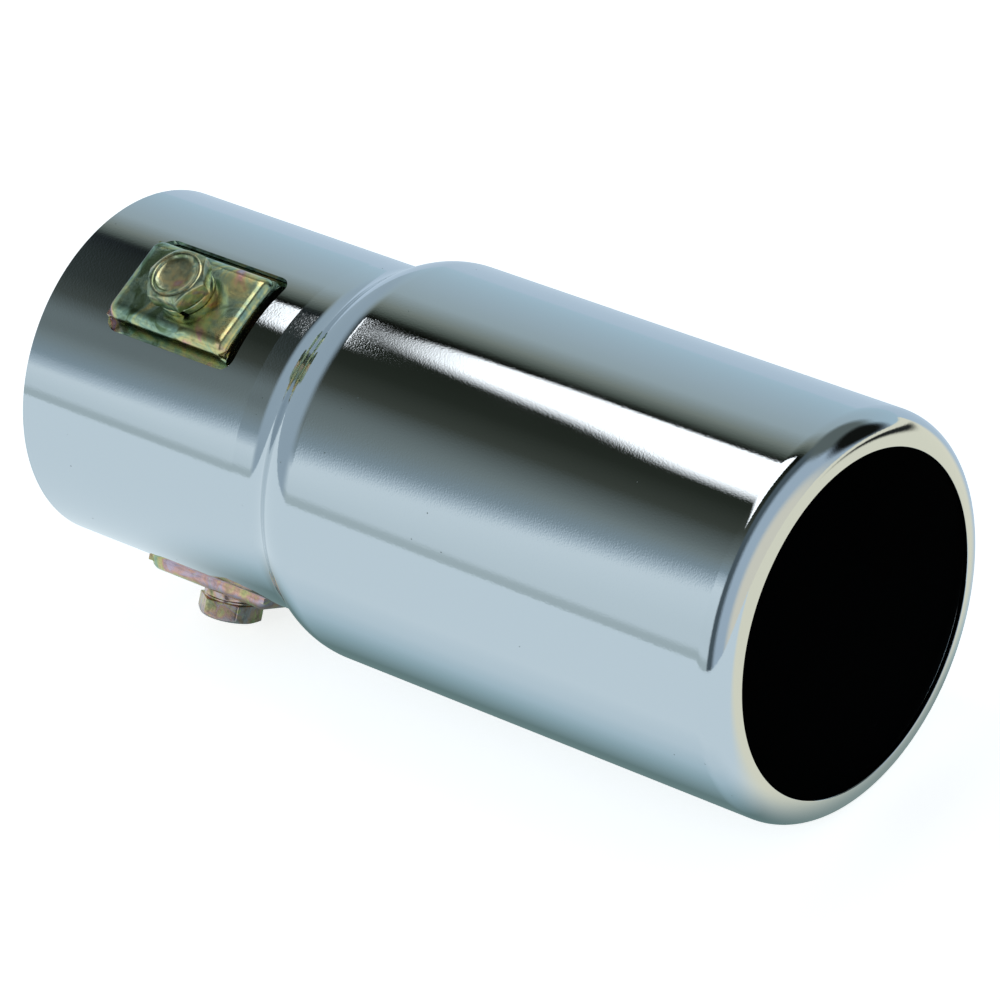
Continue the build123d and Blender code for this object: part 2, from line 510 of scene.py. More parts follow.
@dataclass
class TipShell:
    """The tube: neck, swaged shoulder, barrel and turned-in lip, with a window for each clamp."""

    stations: list[Station]
    sheet: float = 1.2
    neck_radius: float = 33.6
    barrel_radius: float = 38.0
    length: float = 169.0
    neck_length: float = 56.6
    crease: float = 52.4  # faint crease where the straight neck ends
    crease_bend: float = 0.8
    flare: float = 0.13  # how far the neck opens out from the crease to the hollow
    hollow_radius: float = 8.9
    shoulder_radius: float = 13.4
    lip_radius: float = 5.7
    edge: float = 0.25  # broken edges of the cut end and of the lip
    window_middle: float = 30.3
    window_length: float = 31.0
    window_width: float = 21.6
    window_corner: float = 2.8
    punch_reach: tuple[float, float] = (20.0, 45.0)  # from the axis, well inside the tube to well outside
    around: int = 288  # faces round the tube
    per_bend: int = 20  # faces along each bend
    per_corner: int = 8  # faces along each corner of a window
    skin_steps: int = 60  # points along each bend of the outside line
    side_limit: float = 0.9  # a face that looks this straight out or in is the skin, not an edge
    neck_margin: float = 1.0  # how far before the crease the neck counts as straight
    barrel_margin: float = 0.5  # how far from its two bends the barrel does

    def __post_init__(self) -> None:
        """Works out the shoulder's turn and where the barrel starts."""
        bends = self.hollow_radius + self.shoulder_radius
        step = self.barrel_radius - self.neck_radius
        self.turn = math.acos(1 - step / bends)
        self.barrel_start = self.neck_length + bends * math.sin(self.turn)

    def build(self, finishes: Finishes) -> Object:
        """Makes the shell's mesh, gives it exact mirror normals and hands it over.

        Args:
            finishes: The tip's finishes.

        Returns:
            The shell's object.
        """
        fields = (
            "sheet neck_radius barrel_radius length neck_length barrel_start hollow_radius shoulder_radius lip_radius "
            "edge crease crease_bend flare window_middle window_length window_width window_corner"
        ).split()
        lengths = {field.replace("_", " ").capitalize(): getattr(self, field) for field in fields}
        sized = SizedTree("swaged_tube", lengths, {"Bend reach": math.tan(self.turn / 2)})
        sized.end(self._punch(sized, self._swage(sized)), finishes.chrome)
        mesh = sized.run(bpy.data.meshes.new("shell_start"))
        self._polish(mesh, finishes.paint)
        return hand_over("shell", mesh, Body.TIP, Slot.SHELL, "tip_body")

    def _swage(self, sized: SizedTree) -> Node:
        """Turns the wall's outline into a tube.

        Args:
            sized: The shell's tree.

        Returns:
            The node that gives the tube, along +X.
        """
        sized.work_out(
            {
                "Inside neck": ("SUBTRACT", "Neck radius", "Sheet"),
                "Inside barrel": ("SUBTRACT", "Barrel radius", "Sheet"),
                "Inside length": ("SUBTRACT", "Length", "Sheet"),
                "Inside hollow": ("ADD", "Hollow radius", "Sheet"),
                "Inside shoulder": ("SUBTRACT", "Shoulder radius", "Sheet"),
                "Inside lip": ("SUBTRACT", "Lip radius", "Sheet"),
                "Hollow reach": ("MULTIPLY", "Hollow radius", "Bend reach"),
                "Shoulder reach": ("MULTIPLY", "Shoulder radius", "Bend reach"),
                "Inside hollow reach": ("MULTIPLY", "Inside hollow", "Bend reach"),
                "Inside shoulder reach": ("MULTIPLY", "Inside shoulder", "Bend reach"),
                "Hollow corner": ("ADD", "Neck length", "Hollow reach"),
                "Shoulder corner": ("SUBTRACT", "Barrel start", "Shoulder reach"),
                "Inside hollow corner": ("ADD", "Neck length", "Inside hollow reach"),
                "Inside shoulder corner": ("SUBTRACT", "Barrel start", "Inside shoulder reach"),
                "Flared neck": ("ADD", "Neck radius", "Flare"),
                "Inside flared neck": ("ADD", "Inside neck", "Flare"),
                "Mouth": ("SUBTRACT", "Barrel radius", "Lip radius"),
                "Mouth edge": ("SUBTRACT", "Mouth", "Edge"),
            }
        )
        tree, size = sized.tree, sized.size
        # Corners of the wall's outline, once round: distance from the cut end, if any, and from the axis, and the bend
        corners = [
            ("", "Neck radius", "Edge"),
            ("Crease", "Neck radius", "Crease bend"),
            ("Hollow corner", "Flared neck", "Hollow radius"),
            ("Shoulder corner", "Barrel radius", "Shoulder radius"),
            ("Length", "Barrel radius", "Lip radius"),
            ("Length", "Mouth edge", "Edge"),
            ("Inside length", "Mouth edge", "Edge"),
            ("Inside length", "Inside barrel", "Inside lip"),
            ("Inside shoulder corner", "Inside barrel", "Inside shoulder"),
            ("Inside hollow corner", "Inside flared neck", "Inside hollow"),
            ("Crease", "Inside neck", "Crease bend"),
            ("", "Inside neck", "Edge"),
        ]
        index = add_node(tree, "GeometryNodeInputIndex")
        places, bends = (
            add_node(tree, "GeometryNodeIndexSwitch", {0: index}, data_type=kind) for kind in ("VECTOR", "FLOAT")
        )
        for switch in (places, bends):
            while len(switch.index_switch_items) < len(corners):
                switch.index_switch_items.new()
        for number, (along, out, bend) in enumerate(corners, start=1):
            place = add_node(tree, "ShaderNodeCombineXYZ", {0: size[out], 1: size[along] if along else 0.0})
            tree.links.new(place.outputs[0], places.inputs[number])
            tree.links.new(size[bend], bends.inputs[number])
        dots = add_node(tree, "GeometryNodePoints", {"Count": len(corners), "Position": places})
        line = add_node(tree, "GeometryNodePointsToCurves", {0: dots})
        closed = add_node(tree, "GeometryNodeSetSplineCyclic", {0: line, "Cyclic": True})
        outline = add_node(
            tree, "GeometryNodeFilletCurve", {0: closed, "Radius": bends, "Count": self.per_bend}, mode="POLY"
        )
        # The outline is drawn from the axis. It follows a circle 1 m in radius, and starts 1 m back from it
        circle = add_node(tree, "GeometryNodeCurvePrimitiveCircle", {"Resolution": self.around, "Radius": 1.0})
        upright = add_node(tree, "GeometryNodeSetCurveNormal", {0: circle}, mode="Z_UP")
        back = add_node(tree, "GeometryNodeTransform", {0: outline, "Translation": (-1.0, 0.0, 0.0)})
        turned = add_node(tree, "GeometryNodeCurveToMesh", {0: upright, 1: back})
        return add_node(tree, "GeometryNodeTransform", {0: turned, "Rotation": (0.0, -math.pi / 2, 0.0)})

    def _punch(self, sized: SizedTree, tube: Node) -> Node:
        """Punches the windows: a rounded bar goes through the wall at each clamp.

        Args:
            sized: The shell's tree.
            tube: Node that gives the tube.

        Returns:
            The node that gives the tube with its windows.
        """
        tree, size = sized.tree, sized.size
        plate = add_node(
            tree,
            "GeometryNodeCurvePrimitiveQuadrilateral",
            {"Width": size["Window length"], "Height": size["Window width"]},
        )
        rounded = add_node(
            tree,
            "GeometryNodeFilletCurve",
            {0: plate, "Radius": size["Window corner"], "Count": self.per_corner},
            mode="POLY",
        )
        low, high = self.punch_reach
        stroke = add_node(
            tree, "GeometryNodeCurvePrimitiveLine", {"Start": (0.0, 0.0, low * MM), "End": (0.0, 0.0, high * MM)}
        )
        bar = add_node(tree, "GeometryNodeCurveToMesh", {0: stroke, 1: rounded, "Fill Caps": True})
        placed = add_node(tree, "GeometryNodeTransform", {0: bar, "Translation": (size["Window middle"], 0.0, 0.0)})
        bars = add_node(tree, "GeometryNodeJoinGeometry")
        for station in self.stations:
            swung = add_node(
                tree, "GeometryNodeTransform", {0: placed, "Rotation": (-math.radians(station.angle), 0.0, 0.0)}
            )
            tree.links.new(swung.outputs[0], bars.inputs[0])
        return add_node(tree, "GeometryNodeMeshBoolean", {0: tube, 1: bars}, operation="DIFFERENCE", solver="EXACT")

    def _skin(self) -> list[tuple[Vector, Vector]]:
        """Lists close points of the outside line, each with its outward normal, along and away from the axis."""
        reach = math.tan(self.turn / 2)
        # Where the line goes: along the axis, from it, and the bend there. The last point is in the mouth
        corners = [
            (0.0, self.neck_radius, 0.0),
            (self.crease, self.neck_radius, self.crease_bend),
            (self.neck_length + self.hollow_radius * reach, self.neck_radius + self.flare, self.hollow_radius),
            (self.barrel_start - self.shoulder_radius * reach, self.barrel_radius, self.shoulder_radius),
            (self.length, self.barrel_radius, self.lip_radius),
            (self.length, self.barrel_radius - self.lip_radius - 1.0, 0.0),
        ]
        straight_steps = 2 * self.skin_steps // 3
        line: list[tuple[Vector, Vector]] = []
        start = Vector(corners[0][:2])
        for before, here, after in zip(corners, corners[1:], corners[2:]):
            corner = Vector(here[:2])
            way_in = (corner - Vector(before[:2])).normalized()
            way_out = (Vector(after[:2]) - corner).normalized()
            bend = abs(way_in.angle_signed(way_out, 0.0))
            cut = here[2] * math.tan(bend / 2)
            side = Vector((-way_in.y, way_in.x))
            stop = corner - way_in * cut
            line += [(start.lerp(stop, k / straight_steps), side) for k in range(straight_steps)]
            # A bend towards the axis is centred inside the line, one away from it outside
            sign = -1 if way_in.x * way_out.y - way_in.y * way_out.x < 0 else 1
            centre = stop + side * (sign * here[2])
            for k in range(self.skin_steps + 1):
                turned = sign * bend * k / self.skin_steps
                normal = Vector(
                    (side.x * math.cos(turned) - side.y * math.sin(turned),
                     side.x * math.sin(turned) + side.y * math.cos(turned))
                )
                line.append((centre - normal * (sign * here[2]), normal))
            start = corner + way_out * cut
        line.append((start, line[-1][1]))
        return line

    def _polish(self, mesh: Mesh, paint: Material) -> None:
        """Gives face corners the true surface's normal, for clean reflections, and paints the inside.

        Args:
            mesh: The tube's mesh.
            paint: Finish of the faces that look towards the axis.
        """
        bm = bmesh.new()
        bm.from_mesh(mesh)
        bmesh.ops.remove_doubles(bm, verts=bm.verts, dist=1e-7)
        bmesh.ops.recalc_face_normals(bm, faces=bm.faces)
        bm.to_mesh(mesh)
        bm.free()
        mesh.materials.append(paint)
        painted = len(mesh.materials) - 1
        line = self._skin()
        tree = KDTree(len(line))
        for number, (point, _) in enumerate(line):
            tree.insert((point.x, point.y, 0.0), number)
        tree.balance()
        # The neck up to the crease and the barrel up to the lip are straight
        straights = (
            (-self.neck_margin, self.crease - self.neck_margin),
            (self.barrel_start + self.barrel_margin, self.length - self.lip_radius - self.barrel_margin),
        )
        skin = []
        for vertex in mesh.vertices:
            x, y, z = vertex.co
            out = math.hypot(y, z)
            if any(low < x / MM < high for low, high in straights):
                along, away = 0.0, 1.0
            else:
                along, away = line[tree.find((x / MM, out / MM, 0.0))[1]][1]
            skin.append(Vector((along, away * y / out, away * z / out)))
        normals = []
        for face in mesh.polygons:
            face.use_smooth = True
            facings = [face.normal.dot(skin[corner]) for corner in face.vertices]
            for corner, facing in zip(face.vertices, facings):
                on_skin = abs(facing) > self.side_limit
                normals.append(skin[corner] * math.copysign(1.0, facing) if on_skin else face.normal.copy())
            if max(facings) < -self.side_limit:
                face.material_index = painted
        mesh.normals_split_custom_set(normals)


@dataclass
class ClampBracket:
    """Channel bent from strip: a flat top for the bolt, two sides, and a curved foot on each."""

    sheet: float = 1.4
    length: float = 29.2
    width: float = 17.8
    top: float = 35.2  # from the tube's axis
    bend: float = 2.4
    curl: float = 2.0  # outer radius of the turned-down ends
    curl_depth: float = 2.3  # how far the ends are turned down
    tongue: tuple[float, float, float] = (1.25, 17.5, 3.1)  # along, across and up
    tongue_bottom: float = 30.4
    tongue_inset: float = 0.05  # behind the bracket's end
    foot_bend: float = 2.2  # inside bend between a side and its foot
    foot_radius: float = 32.25
    foot_reach: float = 14.4
    foot_length: float = 32.4  # along the tube, longer than the window
    foot_start: float = 0.8  # from the bend to the first point of a foot, in degrees
    stretch_start: float = 0.35  # how far above the feet the strip starts to get longer
    stretch_band: float = 0.3  # height over which it does
    collar: float = 9.6
    collar_bottom: float = 31.4
    collar_inset: float = 0.5  # how far the collar's blank ends below the top, inside the strip
    hole: float = 6.45
    drill_length: float = 30.0
    dimple_places: tuple[float, ...] = (-8.6, 3.4)  # pressed ribs across the near bend
    dimple_size: float = 0.95
    dimple_height: float = 0.3
    dimple_inset: float = 0.7  # of a dimple's middle, from the near side and from the top
    dimple_spread: float = 0.9  # across the bend, in square millimetres
    turn_band: float = 0.6  # height over which the sides go from square ends to turned-in ones
    foot_turn: float = 0.02  # share of the turning-in that the feet keep, so that their ends stay apart
    per_flat: int = 8  # faces across half the top
    per_curl: int = 6  # faces round each turned-down end
    per_length: int = 58  # faces along the straight part
    per_round: int = 64  # faces round the collar

    def _half_section(self) -> list[tuple[Vector, Vector, Vector]]:
        """Lists points of the strip's section from the middle to a foot's edge.

        Returns:
            For each, the outer point, its outward normal, and the inner point across the strip.
        """
        half = self.width / 2
        flat = half - self.bend
        points = [
            (Vector((y, self.top)), Vector((0, 1)), Vector((y, self.top - self.sheet)))
            for y in (flat * i / self.per_flat for i in range(self.per_flat))
        ]
        foot_y = half + self.foot_bend
        foot_z = math.sqrt((self.foot_radius + self.foot_bend) ** 2 - foot_y**2)
        low = math.degrees(math.atan2(foot_y, foot_z))
        reach = math.degrees(math.asin(self.foot_reach / self.foot_radius))
        # Bend into the side, bend into the foot, then the foot round the tube's axis: the centre of each arc, its
        # radius at the outer face, where it starts and ends in degrees, and its number of faces
        for centre, outer, start, stop, count in (
            ((flat, self.top - self.bend), self.bend, 0, 90, 10),
            ((foot_y, foot_z), -self.foot_bend, 90, low, 8),
            ((0.0, 0.0), self.foot_radius, low + self.foot_start, reach, 8),
        ):
            for i in range(count + 1):
                angle = math.radians(start + (stop - start) * i / count)
                way = Vector((math.sin(angle), math.cos(angle)))
                points.append((Vector(centre) + way * outer, way, Vector(centre) + way * (outer - self.sheet)))
        return points

    def _mesh(self) -> Mesh:
        """Lofts the section along the strip, rolling the outer edge over at both cut ends."""
        half = self._half_section()
        mirrored = [tuple(Vector((-v.x, v.y)) for v in place) for place in reversed(half[1:])]
        end = self.length / 2
        reach = end - self.curl
        turns = [math.radians(90 * k / self.per_curl) for k in range(self.per_curl + 1)]
        outer_end, inner_end = (
            [(reach + radius * math.sin(a), radius * (1 - math.cos(a))) for a in turns] + [last]
            for radius, last in (
                (self.curl, (end, self.curl_depth)),
                (self.curl - self.sheet, (end - self.sheet, self.curl_depth - self.sheet)),
            )
        )
        straight = [(-reach + 2 * reach * k / self.per_length, 0.0) for k in range(1, self.per_length)]
        outside = [(-x, inset) for x, inset in reversed(outer_end)] + straight + outer_end
        inside = list(reversed(inner_end)) + [(-x, inset) for x, inset in inner_end]
        foot_top = self.top - self.bend - self.turn_band
        longer = self.foot_length / self.length - 1
        longest = self.foot_radius + self.stretch_start
        dimple_y = -self.width / 2 + self.dimple_inset
        dimple_z = self.top - self.dimple_inset
        spots = []
        for outer, normal, inner in mirrored + half:
            # The sides are turned in with the top, and the feet keep square ends
            turned = min(1.0, max(0.0, (outer.y - foot_top) / self.turn_band + self.foot_turn))
            # The feet run on under the tube's wall past both ends of the window
            stretch = 1 + longer * min(1.0, max(0.0, (longest - outer.length) / self.stretch_band))
            on_bend = math.exp(-((outer.x - dimple_y) ** 2 + (outer.y - dimple_z) ** 2) / self.dimple_spread)
            for x, inset in outside:
                press = sum(math.exp(-((x - place) ** 2) / self.dimple_size**2) for place in self.dimple_places)
                at = outer + normal * (press * on_bend * self.dimple_height - inset * turned)
                spots.append((x * stretch, at.x, at.y))
            for x, inset in inside:
                at = inner - normal * (inset * turned)
                spots.append((x * stretch, at.x, at.y))
        around = len(outside) + len(inside)
        rows = len(spots) // around
        faces = [
            (r * around + k, (r + 1) * around + k, (r + 1) * around + (k + 1) % around, r * around + (k + 1) % around)
            for r in range(rows - 1)
            for k in range(around)
        ]
        faces += [tuple(range(around)), tuple(range((rows - 1) * around, rows * around))]
        return solid_mesh("bent_strip", spots, faces)

    def build(self, station: Station, material: Material) -> Object:
        """Adds the collar, its hole and the tongues to the bent strip, places it and hands it over.

        Args:
            station: Where the clamp sits.
            material: Plated finish.

        Returns:
            The bracket's object.
        """
        sized = SizedTree(
            "clamp_bracket",
            {
                "Collar radius": self.collar / 2,
                "Hole radius": self.hole / 2,
                "Collar bottom": self.collar_bottom,
                "Top": self.top,
                "Tongue reach": self.length / 2 - self.tongue[0] / 2 - self.tongue_inset,
                "Tongue middle": self.tongue_bottom + self.tongue[2] / 2,
            },
            station.sizes(turned=False),
        )
        sized.work_out(
            {
                "Collar height": ("SUBTRACT", "Top", "Collar bottom"),
                "Sunk height": ("SUBTRACT", "Collar height", self.collar_inset * MM),
                "Half sunk": ("DIVIDE", "Sunk height", 2.0),
                "Collar middle": ("ADD", "Collar bottom", "Half sunk"),
                "Rear tongue": ("MULTIPLY", "Tongue reach", -1.0),
            }
        )
        tree, size = sized.tree, sized.size
        collar, drill = (
            add_node(
                tree,
                "GeometryNodeMeshCylinder",
                {"Vertices": self.per_round, "Radius": radius, "Depth": depth},
            )
            for radius, depth in (
                (size["Collar radius"], size["Sunk height"]),
                (size["Hole radius"], self.drill_length * MM),
            )
        )
        # The middle of each end reaches down through the window, so little shows through the gap
        tongue = add_node(tree, "GeometryNodeMeshCube", {"Size": tuple(size * MM for size in self.tongue)})
        joined = add_node(tree, "GeometryNodeMeshBoolean", {1: size["Geometry"]}, operation="UNION", solver="EXACT")
        for added, along, up in (
            (collar, 0.0, size["Collar middle"]),
            (tongue, size["Rear tongue"], size["Tongue middle"]),
            (tongue, size["Tongue reach"], size["Tongue middle"]),
        ):
            put = add_node(tree, "GeometryNodeTransform", {0: added, "Translation": (along, 0.0, up)})
            tree.links.new(put.outputs[0], joined.inputs[1])
        over = add_node(tree, "GeometryNodeTransform", {0: drill, "Translation": (0.0, 0.0, size["Top"])})
        drilled = add_node(
            tree, "GeometryNodeMeshBoolean", {0: joined, 1: over}, operation="DIFFERENCE", solver="EXACT"
        )
        sized.finish(drilled, 0.0, material)
        mesh = sized.run(self._mesh())
        smooth(mesh, angle=32.0)
        number = station.number
        return hand_over(f"bracket_{number}", mesh, Body.TIP, Slot.BRACKET, f"clamp_bracket_{number}")


@dataclass
class SpringWasher:
    """Split ring of square section under a bolt's head."""

    outer: float = 10.9
    bore: float = 6.9
    thickness: float = 1.6
    seat: float = 35.25  # underside, from the tube's axis
    split: float = 0.9
    lean: float = 25.0  # degrees
    split_angle: float = -59.0  # from forward
    corner: float = 0.22
    around: int = 90  # faces round the ring
    per_corner: int = 3

    def build(self, station: Station, material: Material) -> Object:
        """Bends a bar into the split ring, places it and hands it over.

        Args:
            station: Where the clamp sits.
            material: Plated finish.

        Returns:
            The washer's object.
        """
        ring_radius = (self.outer + self.bore) / 4
        gap = self.split / ring_radius
        sized = SizedTree(
            "spring_washer",
            {
                "Ring radius": ring_radius,
                "Bar width": (self.outer - self.bore) / 2,
                "Bar height": self.thickness,
                "Corner": self.corner,
                "Middle": self.seat + self.thickness / 2,
            },
            {
                "Start": math.radians(self.split_angle) + gap / 2,
                "Sweep": 2 * math.pi - gap,
                "Lean rate": -math.tan(math.radians(self.lean)) / (ring_radius * MM),
                **station.sizes(turned=False),
            },
        )
        tree, size = sized.tree, sized.size
        ring = add_node(
            tree,
            "GeometryNodeCurveArc",
            {"Resolution": self.around, "Radius": size["Ring radius"], "Start Angle": size["Start"],
             "Sweep Angle": size["Sweep"]},
        )
        upright = add_node(tree, "GeometryNodeSetCurveNormal", {0: ring}, mode="Z_UP")
        bar = add_node(
            tree,
            "GeometryNodeCurvePrimitiveQuadrilateral",
            {"Width": size["Bar width"], "Height": size["Bar height"]},
        )
        eased = add_node(
            tree, "GeometryNodeFilletCurve", {0: bar, "Radius": size["Corner"], "Count": self.per_corner}, mode="POLY"
        )
        bent = add_node(tree, "GeometryNodeCurveToMesh", {0: upright, 1: eased, "Fill Caps": True})
        # Both cut ends lean: the ring turns a little with height
        spot = add_node(tree, "GeometryNodeInputPosition")
        height = add_node(tree, "ShaderNodeSeparateXYZ", {0: spot}).outputs["Z"]
        slide = add_node(tree, "ShaderNodeMath", {0: height, 1: size["Lean rate"]}, operation="MULTIPLY")
        leaned = add_node(tree, "ShaderNodeVectorRotate", {"Vector": spot, "Angle": slide}, rotation_type="Z_AXIS")
        cut = add_node(tree, "GeometryNodeSetPosition", {0: bent, "Position": leaned})
        sized.finish(cut, size["Middle"], material)
        mesh = sized.run(bpy.data.meshes.new("washer_start"))
        smooth(mesh, angle=35.0)
        number = station.number
        return hand_over(f"washer_{number}", mesh, station.body, Slot.WASHER, f"spring_washer_{number}")


@dataclass
class ClampBolt:
    """Quarter inch hexagon bolt: cold-formed head with a hollow top, and a rolled thread."""

    diameter: float = 6.35
    pitch: float = 1.27
    thread_depth: float = 0.72
    thread_flat: float = 0.06  # half of the crest and of the root, in pitches
    length: float = 19.0
    under_head: float = 36.9  # from the tube's axis
    rooted: float = 0.3  # how far the shank goes up into the head
    flats: float = 11.1
    height: float = 4.0
    top_circle: float = 10.2
    chamfer: float = 30.0
    hollow: float = 9.0
    hollow_depth: float = 0.5
    # The hollow is stamped: almost flat, with a short steep wall up to the rim. Share of its radius and of its depth
    hollow_shape: tuple[tuple[float, float], ...] = (
        (0.2, 1.0), (0.4, 0.99), (0.6, 0.97), (0.76, 0.93), (0.86, 0.8), (0.92, 0.5), (0.96, 0.2), (1.0, 0.0)
    )
    bearing: float = 10.4
    bearing_height: float = 0.4
    tip: float = 0.8
    broken: float = 0.14  # softened edges of the head
    per_side: int = 14
    per_pitch: int = 10  # rows of faces along each pitch of the thread
    per_turn: int = 40  # faces round the shank

    def _head(self) -> Mesh:
        """Makes the head as rings from the middle of its top to the middle of its underside."""
        around = 6 * self.per_side
        angles = [2 * math.pi * k / around for k in range(around)]
        corner_radii = [self.flats / 2 / math.cos(math.radians(math.degrees(a) % 60 - 30)) for a in angles]
        slope = math.tan(math.radians(self.chamfer))
        # Rings that are round, with their radius and height
        top = [(self.hollow / 2 * share, self.height - self.hollow_depth * fall) for share, fall in self.hollow_shape]
        top.append((self.top_circle / 2, self.height))
        under = [(self.bearing / 2, self.bearing_height), (self.bearing / 2, 0.0)]
        rings = [[ring] * around for ring in top]
        rings.append([(r, self.height - (r - self.top_circle / 2) * slope) for r in corner_radii])
        rings.append([(r, self.bearing_height) for r in corner_radii])
        rings += [[ring] * around for ring in under]
        spots = [(0.0, 0.0, self.height - self.hollow_depth)]
        for ring in rings:
            spots += [(r * math.cos(a), r * math.sin(a), z) for a, (r, z) in zip(angles, ring)]
        spots.append((0.0, 0.0, 0.0))
        faces = [(0, 1 + k, 1 + (k + 1) % around) for k in range(around)]
        for n in range(len(rings) - 1):
            a, b = 1 + n * around, 1 + (n + 1) * around
            faces += [(a + k, b + k, b + (k + 1) % around, a + (k + 1) % around) for k in range(around)]
        last = 1 + (len(rings) - 1) * around
        faces += [(last + k, len(spots) - 1, last + (k + 1) % around) for k in range(around)]
        return solid_mesh("bolt_head", spots, faces, edge_mm=self.broken)

    def build(self, station: Station, material: Material) -> Object:
        """Adds the threaded shank to the head, places the bolt and hands it over.

        Args:
            station: Where the clamp sits.
            material: Plated finish.

        Returns:
            The bolt's object.
        """
        sized = SizedTree(
            "clamp_bolt",
            {
                "Shank radius": self.diameter / 2,
                "Shank length": self.length,
                "Pitch": self.pitch,
                "Thread depth": self.thread_depth,
                "Tip": self.tip,
                "Under head": self.under_head,
            },
            station.sizes(turned=True),
        )
        sized.work_out(
            {
                "Bar length": ("ADD", "Shank length", self.rooted * MM),
                "Half bar": ("DIVIDE", "Bar length", 2.0),
                "Bar drop": ("SUBTRACT", self.rooted * MM, "Half bar"),
                "Tip radius": ("SUBTRACT", "Shank radius", "Tip"),
                "Root radius": ("SUBTRACT", "Shank radius", "Thread depth"),
            }
        )
        tree, size = sized.tree, sized.size
        bar = add_node(
            tree,
            "GeometryNodeMeshCylinder",
            {"Vertices": self.per_turn, "Side Segments": round(self.length / self.pitch * self.per_pitch),
             "Radius": size["Shank radius"], "Depth": size["Bar length"]},
        )
        hung = add_node(tree, "GeometryNodeTransform", {0: bar, "Translation": (0.0, 0.0, size["Bar drop"])})
        # Thread: the radius falls and rises once for each pitch, and one pitch round the bar
        spot = add_node(tree, "GeometryNodeInputPosition")
        parts = add_node(tree, "ShaderNodeSeparateXYZ", {0: spot}).outputs
        steps: dict[str, Node] = {}
        for name, operation, first, second in (
            ("angle", "ARCTAN2", parts["Y"], parts["X"]),
            ("turns", "DIVIDE", "angle", 2 * math.pi),
            ("pitches", "DIVIDE", parts["Z"], size["Pitch"]),
            ("phase", "SUBTRACT", "pitches", "turns"),
            ("wave", "PINGPONG", "phase", 0.5),
            ("from tip", "ADD", parts["Z"], size["Shank length"]),
            ("room", "ADD", "from tip", size["Tip radius"]),
        ):
            terms = [steps[t] if isinstance(t, str) else t for t in (first, second)]
            steps[name] = add_node(tree, "ShaderNodeMath", dict(enumerate(terms)), operation=operation)
        groove = add_node(
            tree,
            "ShaderNodeMapRange",
            {"Value": steps["wave"], "From Min": self.thread_flat, "From Max": 0.5 - self.thread_flat,
             "To Min": size["Shank radius"], "To Max": size["Root radius"]},
        )
        radius = add_node(tree, "ShaderNodeMath", {0: groove, 1: steps["room"]}, operation="MINIMUM")
        share = add_node(tree, "ShaderNodeMath", {0: radius, 1: size["Shank radius"]}, operation="DIVIDE")
        squeeze = add_node(tree, "ShaderNodeCombineXYZ", {0: share, 1: share, 2: 1.0})
        rolled = add_node(tree, "ShaderNodeVectorMath", {0: spot, 1: squeeze}, operation="MULTIPLY")
        shank = add_node(tree, "GeometryNodeSetPosition", {0: hung, "Position": rolled})
        whole = add_node(tree, "GeometryNodeJoinGeometry", {0: shank})
        tree.links.new(size["Geometry"], whole.inputs[0])
        sized.finish(whole, size["Under head"], material)
        mesh = sized.run(self._head())
        smooth(mesh, angle=32.0)
        number = station.number
        return hand_over(f"bolt_{number}", mesh, station.body, Slot.BOLT, f"clamp_bolt_{number}")


@dataclass(frozen=True)
class LightSheet:
    """A curved glowing sheet round the tip's axis, which the camera doesn't see. Lengths in mm, angles in degrees."""

    name: str
    far: tuple[tuple[float, float], ...]  # place along the axis, and the far edge's angle there, from up towards +Y
    near: tuple[tuple[float, float], ...]  # the same for the near edge
    fade: float  # width of the fading near edge
    strength: float
    rise: float  # length over which it brightens from its rear end
    tent: float = 700.0  # distance from the tip's axis
    columns: int = 120
    rows: int = 24

    @staticmethod
    def _edge(table: tuple[tuple[float, float], ...], x: float) -> float:
        """Reads an edge's angle at a place along the axis."""
        for (x0, a0), (x1, a1) in zip(table, table[1:]):
            if x <= x1:
                return a0 + (a1 - a0) * (x - x0) / (x1 - x0)
        return table[-1][1]

    def hang(self) -> None:
        """Makes the sheet, with its brightness as an attribute."""
        start, end = self.near[0][0], self.near[-1][0]
        spots, layer = [], []
        for x in [start + (end - start) * k / self.columns for k in range(self.columns + 1)]:
            low, high = self._edge(self.near, x) - self.fade / 2, self._edge(self.far, x)
            for k in range(self.rows + 1):
                degrees = low + (high - low) * k / self.rows
                angle = math.radians(degrees)
                spots.append((x * MM, self.tent * MM * math.sin(angle), self.tent * MM * math.cos(angle)))
                layer.append(min(1.0, max(0.0, (degrees - low) / self.fade)) * min(1.0, (x - start) / self.rise))
        row = self.rows + 1
        faces = [
            (i * row + k, i * row + k + 1, (i + 1) * row + k + 1, (i + 1) * row + k)
            for i in range(self.columns)
            for k in range(self.rows)
        ]
        mesh = bpy.data.meshes.new(self.name)
        mesh.from_pydata(spots, [], faces)
        glow = mesh.attributes.new("glow", "FLOAT", "POINT")
        for i, value in enumerate(layer):
            glow.data[i].value = value
        material = bpy.data.materials.new(self.name)
        material.use_nodes = True
        tree = material.node_tree
        tree.nodes.clear()
        share = add_node(tree, "ShaderNodeAttribute", attribute_name="glow").outputs["Fac"]
        lit = add_node(tree, "ShaderNodeEmission", {"Color": to_linear("#FFFFFF"), "Strength": self.strength})
        clear = add_node(tree, "ShaderNodeBsdfTransparent")
        mixed = add_node(tree, "ShaderNodeMixShader", {0: share, 1: clear, 2: lit})
        add_node(tree, "ShaderNodeOutputMaterial", {"Surface": mixed})
        mesh.materials.append(material)
        sheet = bpy.data.objects.new(self.name, mesh)
        bpy.context.scene.collection.objects.link(sheet)
        sheet.visible_camera = False
        sheet.visible_shadow = False


